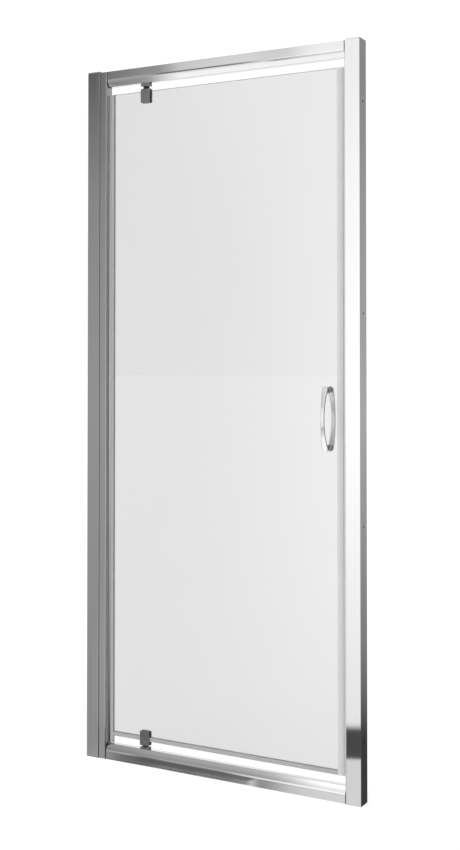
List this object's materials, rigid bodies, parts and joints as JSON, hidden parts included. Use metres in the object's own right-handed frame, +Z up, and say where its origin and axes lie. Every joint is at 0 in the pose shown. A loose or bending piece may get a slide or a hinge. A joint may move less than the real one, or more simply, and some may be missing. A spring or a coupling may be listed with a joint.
{
  "type": "pivot shower door",
  "caption": "Framed alcove shower door: a clear glass leaf on an inset vertical pivot, between telescoping jambs, a header and a sill.",
  "frame": {"origin": "on the floor, midway between the two walls, on the mid-plane of the glass", "axes": "+X from the hinge side to the closing side, +Y from the bathroom into the shower, +Z up"},
  "size_m": [0.8, 0.071, 1.85],
  "materials": {
    "polished_frame": "bright polished silver",
    "cap_plastic": "glossy grey moulded plastic",
    "screw_steel": "plain stainless",
    "black_gasket": "matt soft rubber",
    "chromed_zinc": "dark polished chrome",
    "black_nylon": "matt nylon",
    "clear_seal": "translucent grey soft vinyl",
    "magnet_strip": "grey bonded magnet",
    "clear_glass": "clear toughened glass with ground edges",
    "clear_plastic": "clear moulded plastic",
    "handle_chrome": "bright polished chrome"
  },
  "bodies": {
    "frame": {"wall_channel_left": "polished_frame", "wall_channel_right": "polished_frame", "channel_cap_left": "cap_plastic", "channel_cap_right": "cap_plastic", "jamb_left": "polished_frame", "jamb_right": "polished_frame", "jamb_lock_screws": "screw_steel", "lock_screw_caps": "cap_plastic", "header_rail": "polished_frame", "sill_rail": "polished_frame", "rail_end_gaskets": "black_gasket", "corner_screws": "screw_steel", "pivot_block_top": "chromed_zinc", "pivot_block_bottom": "chromed_zinc", "pivot_bush_top": "black_nylon", "pivot_bush_bottom": "black_nylon", "pivot_block_screws": "screw_steel", "strike_seal": "clear_seal", "strike_magnet": "magnet_strip"},
    "door_leaf": {"glass_panel": "clear_glass", "clamp_body_top": "chromed_zinc", "clamp_body_bottom": "chromed_zinc", "clamp_plate_top": "chromed_zinc", "clamp_plate_bottom": "chromed_zinc", "clamp_screws": "screw_steel", "clamp_gaskets": "black_gasket", "clamp_sleeves": "clear_plastic", "pivot_pin_top": "screw_steel", "pivot_pin_bottom": "screw_steel", "handle_bow_front": "handle_chrome", "handle_bow_back": "handle_chrome", "handle_posts": "handle_chrome", "handle_studs": "screw_steel", "handle_washers": "clear_plastic", "handle_sleeves": "clear_plastic", "hinge_side_seal": "clear_seal", "drip_seal": "clear_seal", "closing_seal": "clear_seal", "closing_magnet": "magnet_strip"}
  },
  "joints": [
    {"name": "leaf_swing", "type": "hinge", "parent": "frame", "child": "door_leaf", "pos_m": [-0.224, 0, 0.92], "axis": [0, 0, -1], "range_deg": [0, 90]}
  ]
}
